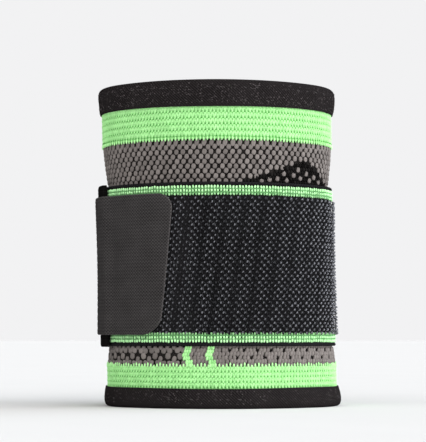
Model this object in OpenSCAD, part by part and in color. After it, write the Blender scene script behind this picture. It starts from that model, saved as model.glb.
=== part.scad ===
// Wrist support sleeve: a knitted tube with folded hems, and an elastic strap that is sewn
// on at one end, goes once round the wrist over the sleeve and closes with a hook tab.
// The origin is on the sleeve's axis at the level of its lower edge, +Z is up and the
// front, where the tab ends, faces -Y. Angles are those of the surface's outward normal:
// 0 is the right side, 90 the back, 180 the left side and 270 the front.

/* [Sleeve] */
// Height from the lower edge to the upper edge
sleeve_h = 92; // [84:1:110]
// Half of the width across the wrist, at the waist
half_w = 32; // [29:0.5:37]
// Half of the depth through the wrist, at the waist
half_d = 24; // [22:0.5:28]
// Thickness of the knit
knit_t = 1.8; // [1.5:0.1:2]
// How far the knit flares out from the waist to the upper coloured band
flare_top = 1.5; // [0.8:0.1:2]
// How far the knit flares out from the waist to the lower coloured band
flare_bottom = 1.2; // [0.8:0.1:2]

/* [Hems and bands] */
// Height of the upper folded hem
top_hem_h = 7.5; // [6:0.1:9]
// Height of the lower folded hem
bottom_hem_h = 5.7; // [5.5:0.1:9]
// Height of the upper coloured band
top_band_h = 9.2; // [6:0.1:10]
// Height of the lower coloured band
bottom_band_h = 6.0; // [5:0.1:8]
// Thickness of the hem's cloth
hem_cloth_t = 1.1; // [0.8:0.05:1.3]

/* [Strap] */
// Height of the strap's lower edge over the sleeve's lower edge
strap_z = 17.3; // [15:0.1:20]
// Width of the strap with its edges
strap_w = 46; // [40:1:47]
// Thickness of the loop-faced elastic
loop_t = 1.4; // [1.2:0.05:1.4]
// Width of a coloured trim
trim_w = 3.0; // [2:0.1:4]
// Width of the black piping at each edge
piping_w = 1.0; // [0.8:0.1:1.4]
// Width of the cloth binding at the strap's free end, as an angle
binding_a = 20; // [10:1:24]

/* [Tab] */
// Width of the hook tab
tab_w = 39.6; // [34:0.1:40]
// Thickness of the hook tab's backing
tab_t = 0.5; // [0.4:0.05:0.6]
// Length of the hooks
hook_t = 0.3; // [0.2:0.05:0.3]
// Radius of the tab's free corners
tab_corner_r = 4.5; // [2:0.5:8]

/* [Hidden] */
$fn = 96;

// The waist's oval: four quarter arcs, the side ones tighter than the front and back ones
arc_shift = (half_w - half_d) / (1 + tan(45) - 1 / cos(45));
side_r = half_w - arc_shift;
face_r = half_d + arc_shift;

// Heights
bottom_band_z = bottom_hem_h;
knit_z = bottom_band_z + bottom_band_h;
top_hem_z = sleeve_h - top_hem_h;
top_band_z = top_hem_z - top_band_h;
strap_top = strap_z + strap_w;
trim_z = strap_z + piping_w;
loop_z = trim_z + trim_w;
loop_top = strap_top - piping_w - trim_w;
tab_z = (loop_z + loop_top - tab_w) / 2;

// Hems: the band's edge and an elastic sit in a slot that the folded cloth leaves
slot_gap = 0.05;
hem_corner_r = 1.4;
hem_tuck = 2.2;
elastic_gap = 0.2;
slot_end = 1.3;
thread_r = 0.16;
stitch_l = 1.5;
hem_stitches = 56;

// Strap layers, as offsets from the waist's oval
layer_gap = 0.2;
sewn_gap = 0.03;
inner_lift = layer_gap;
outer_lift = inner_lift + loop_t + layer_gap;
tab_lift = outer_lift + loop_t + sewn_gap;
base_t = 0.55;
trim_t = 0.45;
piping_t = 1.1;

// Where things are round the oval
root_a = 154;
strap_a = 160;
strap_end_a = 565;
strap_lengths = 14;
length_a = (strap_end_a - strap_a) / strap_lengths;
ramp_a = [strap_a + 314, strap_a + 350];
tab_bend_a = 588;
tab_end_a = 615;
tab_drop_a = [strap_end_a + 1, strap_end_a + 13];
seam_a = 0.15;
step_a = 3.6;

// The tab's free edge, as it is seen from the front
tab_edge_top_x = -half_w * 0.395;
tab_edge_bottom_x = -half_w * 0.54;

// Inlaid colours of the knit
inlay_t = 0.6;
bar_w = 1.9;
bar_x = [-10.2, -3.9];
arch_foot_x = half_w * 0.2;
arch_peak_x = half_w * 0.765;
arch_side_x = half_w * 0.975;
arch_drop = 7;
arch_rise = 6.0;

green = [0.48, 0.98, 0.50];
grey = [0.43, 0.40, 0.40];
black = [0.12, 0.12, 0.12];
charcoal = [0.24, 0.23, 0.23];
pale = [0.75, 0.75, 0.75];

moving = [for (k = [1 : strap_lengths - 1]) k];
function numbered(name, k) = str(name, k < 10 ? "_0" : "_", k);

// Centre and radius of the oval's arc number i, counted from the right side
function arc_centre(i) = arc_shift * [[1, 0], [0, -1], [-1, 0], [0, 1]][i % 4];
function arc_radius(i) = i % 2 == 0 ? side_r : face_r;

// The point where the normal's angle is a, at an offset from the waist's oval
function rim(a, offset) = let (i = floor((a + 45) / 90))
    arc_centre(i) + (arc_radius(i) + offset) * [cos(a), sin(a)];

// A smooth change from 0 to 1 as a goes through the range
function smooth(a, range) =
    let (u = min(1, max(0, (a - range[0]) / (range[1] - range[0])))) u * u * (3 - 2 * u);

// Offset of the strap's inner face, which rises to pass over the sewn end
strap_path = function (a) inner_lift + (outer_lift - inner_lift) * smooth(a, ramp_a);

// Offset of the tab's inner face, which drops past the strap's end
tab_path = function (a) tab_lift + (outer_lift - tab_lift) * smooth(a, tab_drop_a);

// Sweeps a section, x as the offset and y as the height, round the oval from a0 to a1
module sweep(a0 = -45, a1 = 315) {
    for (i = [floor((a0 + 45) / 90) : ceil((a1 + 45) / 90) - 1]) {
        from = max(a0, 90 * i - 45);
        to = min(a1, 90 * i + 45);
        translate(arc_centre(i))
            rotate(from)
                rotate_extrude(angle = to - from)
                    translate([arc_radius(i), 0])
                        children();
    }
}

// A section between two offsets from a line of [offset, height] points
module wall(line, inner, outer) {
    polygon(concat(
        [for (p = line) p + [outer, 0]],
        [for (i = [len(line) - 1 : -1 : 0]) line[i] + [inner, 0]]));
}

// A flat strip that follows path, a function of the angle, from a0 to a1
module strip(path, a0, a1, lift, t, z0, z1) {
    n = ceil((a1 - a0) / step_a);
    angles = [for (k = [0 : n]) a0 + (a1 - a0) * k / n];
    translate([0, 0, z0])
        linear_extrude(z1 - z0)
            polygon(concat(
                [for (a = angles) rim(a, path(a) + lift + t)],
                [for (k = [n : -1 : 0]) rim(angles[k], path(angles[k]) + lift)]));
}

// An outline drawn as seen from the front, carried through the front half
module from_front() {
    rotate([90, 0, 0])
        linear_extrude(2 * half_w)
            children();
}

// Outer faces of the knit's three colours
knit_line = [
    [flare_bottom, knit_z], [flare_bottom * 0.55, strap_z - 0.7], [0, strap_z - 0.1],
    [0, strap_top - 0.8], [flare_top * 0.35, strap_top + 2],
    [flare_top * 0.85, top_band_z - 4], [flare_top, top_band_z]];
top_band_line = [
    [flare_top, top_band_z], [flare_top, top_hem_z + hem_tuck]];
bottom_band_line = [
    [flare_bottom, bottom_hem_h - hem_tuck], [flare_bottom, knit_z]];

module arch_outline() {
    offset(r = 1.5)
        offset(delta = -1.5)
            polygon([
                [arch_foot_x, strap_top - arch_drop], [arch_foot_x, strap_top - 0.5],
                [arch_foot_x + 8, strap_top + arch_rise * 0.45],
                [arch_peak_x, strap_top + arch_rise], [arch_peak_x + 3, strap_top + arch_rise * 0.8],
                [arch_side_x, strap_top - 0.5], [arch_side_x, strap_top - arch_drop]]);
}

module bars_outline() {
    for (x = bar_x) {
        translate([x, knit_z])
            square([bar_w, 3.2]);
        translate([x - bar_w / 3, knit_z + 2.2])
            square([bar_w, 2.4]);
        translate([x, knit_z + 3.6])
            square([bar_w, 3.2]);
    }
}

// The knit between two offsets from its outer face, under an outline seen from the front
module inlay(inner, outer) {
    intersection() {
        sweep(225, 405)
            wall(knit_line, inner, outer);
        from_front()
            children();
    }
}

module knit_tube() {
    color(grey)
        difference() {
            sweep()
                wall(knit_line, -knit_t, 0);
            inlay(-inlay_t, 1)
                arch_outline();
            inlay(-inlay_t, 1)
                bars_outline();
        }
}

module arch_panel() {
    color(black)
        inlay(-inlay_t, 0)
            arch_outline();
}

module accent_bars() {
    color(green)
        inlay(-inlay_t, 0)
            bars_outline();
}

module top_green_band() {
    color(green)
        sweep()
            wall(top_band_line, -knit_t, 0);
}

module bottom_green_band() {
    color(green)
        sweep()
            wall(bottom_band_line, -knit_t, 0);
}

// Points of a quarter circle that starts at the angle a
function corner(x, y, r, a) = [for (k = [0 : 5]) [x + r * cos(a + 18 * k), y + r * sin(a + 18 * k)]];

// Section of a hem: cloth folded over the edge of a band whose outer face is at face
module hem_section(face, h) {
    r = hem_corner_r;
    slot = [face - knit_t - slot_gap, face + slot_gap];
    side = [slot[0] - hem_cloth_t, slot[1] + hem_cloth_t];
    polygon(concat(
        [[slot[1], h - slot_end], [slot[1], 0], [side[1], 0]],
        corner(side[1] - r, h - r, r, 0),
        corner(side[0] + r, h - r, r, 90),
        [[side[0], 0], [slot[0], 0], [slot[0], h - slot_end]]));
}

module top_hem() {
    color(black)
        sweep()
            translate([0, top_hem_z])
                hem_section(flare_top, top_hem_h);
}

module bottom_hem() {
    color(black)
        translate([0, 0, bottom_hem_h])
            mirror([0, 0, 1])
                sweep()
                    hem_section(flare_bottom, bottom_hem_h);
}

// An elastic in a hem's slot, past the band's edge
module hem_elastic(face, z0, z1) {
    color(pale)
        sweep()
            translate([face - knit_t, z0])
                square([knit_t, z1 - z0]);
}

module top_hem_elastic() {
    hem_elastic(flare_top, top_hem_z + hem_tuck + elastic_gap, sleeve_h - slot_end - elastic_gap);
}

module bottom_hem_elastic() {
    hem_elastic(flare_bottom, slot_end + elastic_gap, bottom_hem_h - hem_tuck - elastic_gap);
}

// A row of short straight stitches that lie on the surface at an offset, round the oval
module stitch_row(offset, z) {
    for (k = [0 : hem_stitches - 1]) {
        a = (k + 0.5) * 360 / hem_stitches;
        translate(concat(rim(a, offset + thread_r), z))
            rotate([90, 0, a])
                cylinder(h = stitch_l, r = thread_r, center = true);
    }
}

module top_hem_stitching() {
    color(charcoal)
        for (z = [0.2, 0.68])
            stitch_row(flare_top + slot_gap + hem_cloth_t, top_hem_z + z * top_hem_h);
}

module bottom_hem_stitching() {
    color(charcoal)
        stitch_row(flare_bottom + slot_gap + hem_cloth_t, bottom_hem_h * 0.45);
}

// One rigid length of the strap's elastic: a thin base as wide as the strap, the thicker
// loop face in the middle and the piping at both edges
module web(a0, a1) {
    strip(strap_path, a0, a1, 0, base_t, strap_z, strap_top);
    strip(strap_path, a0, a1, 0, loop_t, loop_z, loop_top);
    for (z = [strap_z, strap_top - piping_w])
        strip(strap_path, a0, a1, 0, piping_t, z, z + piping_w);
}

// The two coloured trims on one length of the strap
module trims(a0, a1) {
    for (z = [trim_z, loop_top])
        strip(strap_path, a0, a1, base_t, trim_t, z, z + trim_w);
}

function length_from(k) = strap_a + k * length_a + seam_a;
function length_to(k) =
    strap_a + (k + 1) * length_a - (k == strap_lengths - 1 ? binding_a : seam_a);

module strap_root_web() {
    color(black)
        web(root_a, length_to(0));
}

module strap_root_trim() {
    color(green)
        trims(root_a, length_to(0));
}

// Stitches that hold the strap's root, where they come out on the inside of the knit
module strap_root_stitching() {
    rows = 8;
    pitch = (loop_top - loop_z) / rows;
    color(charcoal)
        for (a = [root_a + 2, root_a + 6], k = [0 : rows - 1])
            translate(concat(rim(a, -knit_t - thread_r), loop_z + (k + 0.2) * pitch))
                cylinder(h = pitch * 0.6, r = thread_r);
}

module strap_web(k) {
    color(black)
        web(length_from(k), length_to(k));
}

module strap_trim(k) {
    color(green)
        trims(length_from(k), length_to(k));
}

// The folded cloth that closes the strap's free end
module strap_end_binding() {
    color(black)
        strip(strap_path, strap_end_a - binding_a, strap_end_a - seam_a,
              0, loop_t, strap_z, strap_top);
}

module tab_sewn_end() {
    color(charcoal)
        strip(tab_path, length_from(strap_lengths - 1), strap_end_a - seam_a,
              0, tab_t + hook_t, tab_z, tab_z + tab_w);
}

// Two rows of stitches that hold the tab on the strap's end
module tab_stitching() {
    rows = 10;
    pitch = tab_w / rows;
    color(black)
        for (a = [strap_end_a - 18, strap_end_a - 11], k = [0 : rows - 1])
            translate(concat(rim(a, tab_lift + tab_t + hook_t + thread_r), tab_z + (k + 0.2) * pitch))
                cylinder(h = pitch * 0.6, r = thread_r);
}

// The free end's outline as seen from the front, with round corners and a slanted edge
module tab_outline() {
    r = tab_corner_r;
    hull() {
        translate([-2 * half_w, tab_z])
            square([half_w, tab_w]);
        translate([tab_edge_top_x - r, tab_z + tab_w - r])
            circle(r);
        translate([tab_edge_bottom_x - r, tab_z + r])
            circle(r);
    }
}

// A layer of the tab's free end, from the bend to the slanted edge
module tab_tip_layer(lift, t) {
    intersection() {
        strip(tab_path, tab_bend_a + seam_a, tab_end_a, lift, t, tab_z, tab_z + tab_w);
        from_front()
            tab_outline();
    }
}

module tab_middle() {
    color(charcoal)
        strip(tab_path, strap_end_a + seam_a, tab_bend_a - seam_a,
              hook_t, tab_t, tab_z, tab_z + tab_w);
}

module tab_middle_hooks() {
    color(black)
        strip(tab_path, strap_end_a + seam_a, tab_bend_a - seam_a,
              0, hook_t, tab_z, tab_z + tab_w);
}

module tab_tip() {
    color(charcoal)
        tab_tip_layer(hook_t, tab_t);
}

module tab_tip_hooks() {
    color(black)
        tab_tip_layer(0, hook_t);
}

knit_tube();
top_green_band();
bottom_green_band();
arch_panel();
accent_bars();
top_hem();
bottom_hem();
top_hem_elastic();
bottom_hem_elastic();
top_hem_stitching();
bottom_hem_stitching();
strap_root_web();
strap_root_trim();
strap_root_stitching();
for (k = moving) {
    strap_web(k);
    strap_trim(k);
}
strap_end_binding();
tab_sewn_end();
tab_stitching();
tab_middle();
tab_tip();
tab_middle_hooks();
tab_tip_hooks();
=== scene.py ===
"""A knitted wrist sleeve with a strap that wraps round it: meshes, finishes, light and camera.

Lengths are in millimetres until a mesh is built. A place on the oval is an angle, that of the
outward normal in degrees (0 right, 90 back, 180 left, 270 front), a height above the floor and an
offset outward from the knit's waist.
"""

import logging
import math
from dataclasses import dataclass
from enum import Enum

import bpy
import numpy as np
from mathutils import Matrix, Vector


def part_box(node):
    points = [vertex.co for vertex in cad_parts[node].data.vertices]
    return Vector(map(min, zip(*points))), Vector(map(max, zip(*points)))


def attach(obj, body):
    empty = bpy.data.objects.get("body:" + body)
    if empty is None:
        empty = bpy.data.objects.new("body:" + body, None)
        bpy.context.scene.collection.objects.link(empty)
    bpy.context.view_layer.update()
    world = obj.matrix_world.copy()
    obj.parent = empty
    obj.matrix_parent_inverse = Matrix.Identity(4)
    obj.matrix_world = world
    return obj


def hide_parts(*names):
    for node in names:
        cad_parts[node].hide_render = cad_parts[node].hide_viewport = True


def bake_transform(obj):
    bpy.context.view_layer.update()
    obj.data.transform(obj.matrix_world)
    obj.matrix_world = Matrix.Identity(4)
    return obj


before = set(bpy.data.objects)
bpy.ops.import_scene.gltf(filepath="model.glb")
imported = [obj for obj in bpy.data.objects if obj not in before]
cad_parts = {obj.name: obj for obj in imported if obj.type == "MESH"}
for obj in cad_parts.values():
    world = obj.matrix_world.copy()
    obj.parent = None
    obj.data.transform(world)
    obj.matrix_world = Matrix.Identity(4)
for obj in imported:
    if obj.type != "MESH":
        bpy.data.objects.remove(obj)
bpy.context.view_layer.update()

LOG = logging.getLogger("wrist_sleeve")
MM = 0.001
TAU = 2 * math.pi
SHORTEST_SHEET = 0.01
Array = np.ndarray
Colour = tuple[float, float, float, float]
Point = tuple[float, float, float]

FIBRE_SIZE = 0.22
PATCH_SIZE = 7.0
# The share of a point's tone that is lost at the bottom of the cloth: painted shade that deepens with depth.
DEPTH_SHADE_SHARE = 0.45
PLY_SLANT = 1.6
BUMP_STRENGTH = 0.7


def levels(node: str) -> tuple[float, float]:
    """Lowest and highest height of a CAD node, in millimetres."""
    low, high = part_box(node)
    return low[2] / MM, high[2] / MM


def tint(red: int, green: int, blue: int) -> Colour:
    """A shader colour from red, green and blue as a screen shows them, 0 to 255."""
    linear = [((part / 255 + 0.055) / 1.055) ** 2.4 for part in (red, green, blue)]
    return (linear[0], linear[1], linear[2], 1.0)


def smooth(value: Array | float, low: float, high: float) -> Array:
    """A smooth change from 0 at low to 1 at high."""
    share = np.clip((np.asarray(value, float) - low) / (high - low), 0, 1)
    return share * share * (3 - 2 * share)


def alike(*values: Array | float) -> list[Array]:
    """The values as arrays of one shape."""
    return np.broadcast_arrays(*(np.atleast_1d(np.asarray(value, float)) for value in values))


# ---------------------------------------------------------------- shaders


class Term:
    """A shader value. An expression on it adds Math nodes to its material."""

    def __init__(self, shader: "Shader", socket: bpy.types.NodeSocket) -> None:
        """Wraps a socket of the shader's tree."""
        self.shader = shader
        self.socket = socket

    def __add__(self, other: "Term | float") -> "Term":
        """self + other."""
        return self.shader.maths("ADD", self, other)

    def __radd__(self, other: float) -> "Term":
        """other + self."""
        return self.shader.maths("ADD", other, self)

    def __sub__(self, other: "Term | float") -> "Term":
        """self - other."""
        return self.shader.maths("SUBTRACT", self, other)

    def __rsub__(self, other: float) -> "Term":
        """other - self."""
        return self.shader.maths("SUBTRACT", other, self)

    def __mul__(self, other: "Term | float") -> "Term":
        """self * other."""
        return self.shader.maths("MULTIPLY", self, other)

    def __rmul__(self, other: float) -> "Term":
        """other * self."""
        return self.shader.maths("MULTIPLY", other, self)

    def wave(self, pitch: float) -> "Term":
        """A wave from 0 to 1 that repeats each pitch."""
        return self.shader.maths("SINE", self * (TAU / pitch)) * 0.5 + 0.5

    def clamped(self) -> "Term":
        """Holds the value between 0 and 1.

        Returns:
            The held value.
        """
        made = self.shader.maths("ADD", self, 0.0)
        made.socket.node.use_clamp = True
        return made


class Shader:
    """The node tree of one material or of the world."""

    def __init__(self, owner: bpy.types.Material | bpy.types.World) -> None:
        """Starts the owner's tree afresh.

        Args:
            owner: the material or the world.
        """
        owner.use_nodes = True
        self.tree = owner.node_tree
        self.tree.nodes.clear()

    def node(
        self, kind: str, settings: dict[str, object], sockets: dict[str | int, object]
    ) -> bpy.types.Node:
        """Adds a node.

        Args:
            kind: the node's type.
            settings: its properties, which are set first.
            sockets: a value, a Term or a socket for each of its inputs.

        Returns:
            The new node.
        """
        made = self.tree.nodes.new(kind)
        for key, value in settings.items():
            setattr(made, key, value)
        for key, value in sockets.items():
            if isinstance(value, Term):
                value = value.socket
            if isinstance(value, bpy.types.NodeSocket):
                self.tree.links.new(value, made.inputs[key])
            else:
                made.inputs[key].default_value = value
        return made

    def maths(self, operation: str, *values: Term | float) -> Term:
        """One Math node on numbers or Terms."""
        made = self.node("ShaderNodeMath", {"operation": operation}, dict(enumerate(values)))
        return Term(self, made.outputs[0])

    def mix(self, factor: Term, low: Colour, high: Colour) -> Term:
        """A colour between low and high."""
        made = self.node("ShaderNodeMix", {"data_type": "RGBA"}, {0: factor, 6: low, 7: high})
        return Term(self, made.outputs[2])

    def stored(self, name: str, output: str) -> Term:
        """What the mesh stores at each point under that name."""
        made = self.node("ShaderNodeAttribute", {"attribute_name": name}, {})
        return Term(self, made.outputs[output])

    def grain(self, place: Term, size: float, detail: float) -> Term:
        """Noise from 0 to 1.

        Args:
            place: where on the cloth each point is.
            size: about how wide the noise's spots are.
            detail: how many finer layers it has.

        Returns:
            The noise.
        """
        sockets = {"Vector": place, "Scale": 1 / size, "Detail": detail, "Roughness": 0.6}
        made = self.node("ShaderNodeTexNoise", {}, sockets)
        return Term(self, made.outputs[0])


class Weave(Enum):
    """How the threads of a cloth lie."""

    PLIED = "yarn plies that wind round each stitch"
    RIBBED = "level ribs"
    TWILL = "slanted ribs"
    PLAIN = "threads over and under each other"


@dataclass(frozen=True)
class Finish:
    """A cloth or yarn: its colours from the gaps to the crowns, the gaps' darker colour being painted shade,
    its weave and its gloss.
    """

    name: str
    deep: Colour
    pale: Colour
    weave: Weave
    pitch: float
    roughness: float = 0.8
    gloss: float = 0.0
    sheen: float = 0.0
    relief: float = 0.05
    contrast: float = 0.25

    def pattern(self, along: Term, up: Term) -> Term:
        """The weave's height, from 0 to 1.

        Args:
            along: the distance round the cloth.
            up: the distance up the cloth.

        Returns:
            The height of the threads.
        """
        if self.weave is Weave.PLIED:
            return (along * PLY_SLANT + up).wave(self.pitch)
        if self.weave is Weave.RIBBED:
            return up.wave(self.pitch) * 0.7 + along.wave(self.pitch * 0.62) * 0.3
        if self.weave is Weave.TWILL:
            return (along + up).wave(self.pitch)
        weft, warp = along.wave(self.pitch), up.wave(self.pitch)
        return weft * warp + (1 - weft) * (1 - warp)

    def material(self) -> bpy.types.Material:
        """Builds the material from the cloth places and tones that each mesh stores.

        Returns:
            The material.
        """
        made = bpy.data.materials.new(self.name)
        shader = Shader(made)
        place = shader.stored("cloth", "Vector")
        split = shader.node("ShaderNodeSeparateXYZ", {}, {0: place})
        along, up, crown = (Term(shader, split.outputs[k]) for k in range(3))
        tone = shader.stored("tone", "Fac")
        threads = self.pattern(along, up)
        fibres = shader.grain(place, FIBRE_SIZE, 2.0)
        patches = shader.grain(place, PATCH_SIZE, 1.0)
        # Points deeper in the cloth (lower crown) lose part of their tone, and the weave's low threads are
        # toned darker than its raised ones: painted shade in the gaps and grooves.
        lift = tone * ((1 - DEPTH_SHADE_SHARE) + DEPTH_SHADE_SHARE * crown) + (threads - 0.5) * self.contrast
        lift = lift + (fibres - 0.5) * self.contrast + (patches - 0.5) * (self.contrast * 0.5)
        bump = shader.node(
            "ShaderNodeBump",
            {},
            {
                "Strength": BUMP_STRENGTH,
                "Distance": self.relief * MM,
                "Height": threads + fibres * 0.8,
            },
        )
        surface = shader.node(
            "ShaderNodeBsdfPrincipled",
            {},
            {
                "Base Color": shader.mix(lift.clamped(), self.deep, self.pale),
                "Roughness": (self.roughness + (fibres - 0.5) * 0.25).clamped(),
                "Specular IOR Level": self.gloss,
                "Sheen Weight": self.sheen,
                "Sheen Roughness": 0.5,
                "Normal": bump.outputs[0],
            },
        )
        shader.node("ShaderNodeOutputMaterial", {}, {"Surface": surface.outputs[0]})
        return made


GREY_YARN = Finish("grey_yarn", tint(20, 18, 17), tint(152, 144, 140), Weave.PLIED, 0.5, gloss=0.05)
GREY_WALL = Finish("grey_knit_inside", tint(6, 5, 5), tint(112, 106, 103), Weave.PLAIN, 0.7)
GREEN_YARN = Finish(
    "green_yarn", tint(46, 146, 40), tint(193, 255, 175), Weave.PLIED, 0.45, gloss=0.1, contrast=0.16
)
BLACK_YARN = Finish("black_yarn", tint(6, 5, 5), tint(44, 42, 41), Weave.PLIED, 0.5)
HEM_CLOTH = Finish(
    "hem_fabric", tint(4, 3, 3), tint(104, 97, 98), Weave.TWILL, 0.8, relief=0.12, contrast=0.13
)
HEM_BAND = Finish("hem_elastic_yarn", tint(14, 14, 14), tint(56, 56, 56), Weave.RIBBED, 0.9, sheen=0.1)
THREAD = Finish("sewing_thread", tint(14, 13, 13), tint(104, 100, 100), Weave.TWILL, 0.3, sheen=0.1)
WEB_CLOTH = Finish("web_fabric", tint(12, 12, 12), tint(58, 57, 60), Weave.PLAIN, 0.9)
PILE_YARN = Finish(
    "pile_yarn",
    tint(14, 14, 15),
    tint(168, 169, 176),
    Weave.PLIED,
    0.3,
    roughness=0.6,
    gloss=0.05,
    contrast=0.06,
)
TRIM_YARN = Finish(
    "trim_yarn",
    tint(14, 100, 30),
    tint(196, 255, 186),
    Weave.PLIED,
    0.4,
    roughness=0.6,
    gloss=0.1,
    contrast=0.12,
)
BINDING_CLOTH = Finish("binding_fabric", tint(3, 3, 3), tint(34, 32, 32), Weave.RIBBED, 0.7)
TAB_CLOTH = Finish(
    "tab_fabric", tint(18, 17, 17), tint(90, 87, 87), Weave.PLAIN, 0.9, relief=0.1, contrast=0.45
)
HOOKS = Finish(
    "hook_nylon",
    tint(14, 14, 15),
    tint(70, 70, 74),
    Weave.PLIED,
    0.3,
    roughness=0.4,
    gloss=0.3,
    sheen=0.1,
)


# ---------------------------------------------------------------- plan of the oval


@dataclass(frozen=True)
class Plan:
    """The sleeve's oval: four arcs that meet smoothly, pulled in a little under the strap."""

    half_width: float = 32.0
    half_depth: float = 24.0
    height: float = 92.0
    lean: float = 1.9
    strap_pull: float = 0.35
    strap_low: float = 13.0
    strap_high: float = 67.0

    @property
    def shift(self) -> float:
        """How far each arc's centre is from the axis."""
        return (self.half_width - self.half_depth) / (2 - math.sqrt(2))

    def radii(self) -> tuple[float, float]:
        """Radius at the sides, and of the front and back."""
        return self.half_width - self.shift, self.half_depth + self.shift

    def flat(self, angle: Array, offset: Array) -> tuple[Array, Array]:
        """Where a place is, seen from above.

        Args:
            angle: angles on the oval.
            offset: offsets outward.

        Returns:
            The x and the y of each.
        """
        arc = np.floor((angle + 45) / 90).astype(int) % 4
        radius = np.array(self.radii())[arc % 2] + offset
        centre_x = np.array([1, 0, -1, 0])[arc] * self.shift
        centre_y = np.array([0, -1, 0, 1])[arc] * self.shift
        turn = np.radians(angle)
        return centre_x + radius * np.cos(turn), centre_y + radius * np.sin(turn)

    def place(self, angle: Array, height: Array, offset: Array) -> Array:
        """Points in space, with the sleeve's lean and the strap's pull.

        Args:
            angle: angles on the oval.
            height: heights above the floor.
            offset: offsets outward.

        Returns:
            The points, with x, y and z last.
        """
        angle, height, offset = alike(angle, height, offset)
        share = np.clip((height - self.strap_low) / (self.strap_high - self.strap_low), 0, 1)
        x, y = self.flat(angle, offset - self.strap_pull * np.sin(math.pi * share) ** 2)
        return np.stack([x + self.lean * (0.5 - height / self.height), y, height], axis=-1)

    def lengths(self) -> tuple[Array, Array]:
        """The angles where arcs meet, over a little more than three turns, and how far round each is.

        Returns:
            The angles, and the lengths at no offset.
        """
        angles = -405.0 + 90.0 * np.arange(14)
        arcs = np.array([self.radii()[k % 2] * math.pi / 2 for k in range(13)])
        return angles, np.concatenate([[0.0], np.cumsum(arcs)])

    def along(self, angle: Array) -> Array:
        """How far round the oval an angle is."""
        angles, lengths = self.lengths()
        return np.interp(angle, angles, lengths)

    def angle_at(self, along: Array) -> Array:
        """The angle that is that far round the oval."""
        angles, lengths = self.lengths()
        return np.interp(along, lengths, angles)

    def perimeter(self) -> float:
        """The length once round the waist."""
        return float(self.along(315.0) - self.along(-45.0))

    def front_x(self, angle: Array) -> Array:
        """How far right of the axis a place on the front is; places on the back are far away."""
        x, y = self.flat(np.asarray(angle, float), np.zeros_like(angle, float))
        return np.where(y < 1, x, 1e3)


PLAN = Plan()


# ---------------------------------------------------------------- meshes


@dataclass(frozen=True)
class Form:
    """One stitch, thread or hook: x is to the right, y up and z out of the cloth."""

    points: Array
    quads: Array
    triangles: Array


def bead(around: int = 6, rings: int = 3, square: float = 1.0, groove: float = 0.0) -> Form:
    """A closed bead of half size 1 whose poles are its top and bottom.

    Args:
        around: points round it.
        rings: rings of points between the poles.
        square: below 1, the bead is boxier.
        groove: how deep a groove runs down its front.

    Returns:
        The bead.
    """
    tilt = math.pi * np.arange(1, rings + 1) / (rings + 1)
    level = np.sign(np.cos(tilt)) * np.abs(np.cos(tilt)) ** square
    reach = np.sin(tilt) ** square
    turn = TAU * np.arange(around) / around
    front = 1 - groove * np.maximum(0, np.cos(turn)) ** 6
    ring_x = reach[:, None] * np.sin(turn)
    ring_z = reach[:, None] * np.cos(turn) * front
    ring_y = np.repeat(level[:, None], around, 1)
    body = np.stack([ring_x, ring_y, ring_z], -1).reshape(-1, 3)
    points = np.concatenate([body, [[0, 1, 0], [0, -1, 0]]])
    j = np.arange(around)
    after = (j + 1) % around
    quads = [
        np.stack([k * around + j, (k + 1) * around + j, (k + 1) * around + after, k * around + after], -1)
        for k in range(rings - 1)
    ]
    top, bottom, last = rings * around, rings * around + 1, (rings - 1) * around
    triangles = [
        np.stack([np.full(around, top), j, after], -1),
        np.stack([np.full(around, bottom), last + after, last + j], -1),
    ]
    return Form(points, np.concatenate(quads), np.concatenate(triangles))


def tube(path: list[Point], radii: list[float], sides: int, across: Point) -> Form:
    """A closed tube along a path that bends in one plane.

    Args:
        path: the points along its middle.
        radii: its radius at each point.
        sides: points round it.
        across: the direction square to the plane it bends in.

    Returns:
        The tube.
    """
    line = np.array(path, float)
    side = np.array(across, float)
    ahead = np.gradient(line, axis=0)
    ahead = ahead / np.linalg.norm(ahead, axis=1)[:, None]
    out = np.cross(ahead, side)
    turn = TAU * np.arange(sides) / sides
    ring = np.cos(turn)[None, :, None] * side + np.sin(turn)[None, :, None] * out[:, None, :]
    body = (line[:, None, :] + ring * np.array(radii)[:, None, None]).reshape(-1, 3)
    count = len(line)
    j = np.arange(sides)
    after = (j + 1) % sides
    quads = [
        np.stack([k * sides + j, k * sides + after, (k + 1) * sides + after, (k + 1) * sides + j], -1)
        for k in range(count - 1)
    ]
    start, end, last = count * sides, count * sides + 1, (count - 1) * sides
    triangles = [
        np.stack([np.full(sides, start), after, j], -1),
        np.stack([np.full(sides, end), last + j, last + after], -1),
    ]
    points = np.concatenate([body, line[:1], line[-1:]])
    return Form(points, np.concatenate(quads), np.concatenate(triangles))


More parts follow.
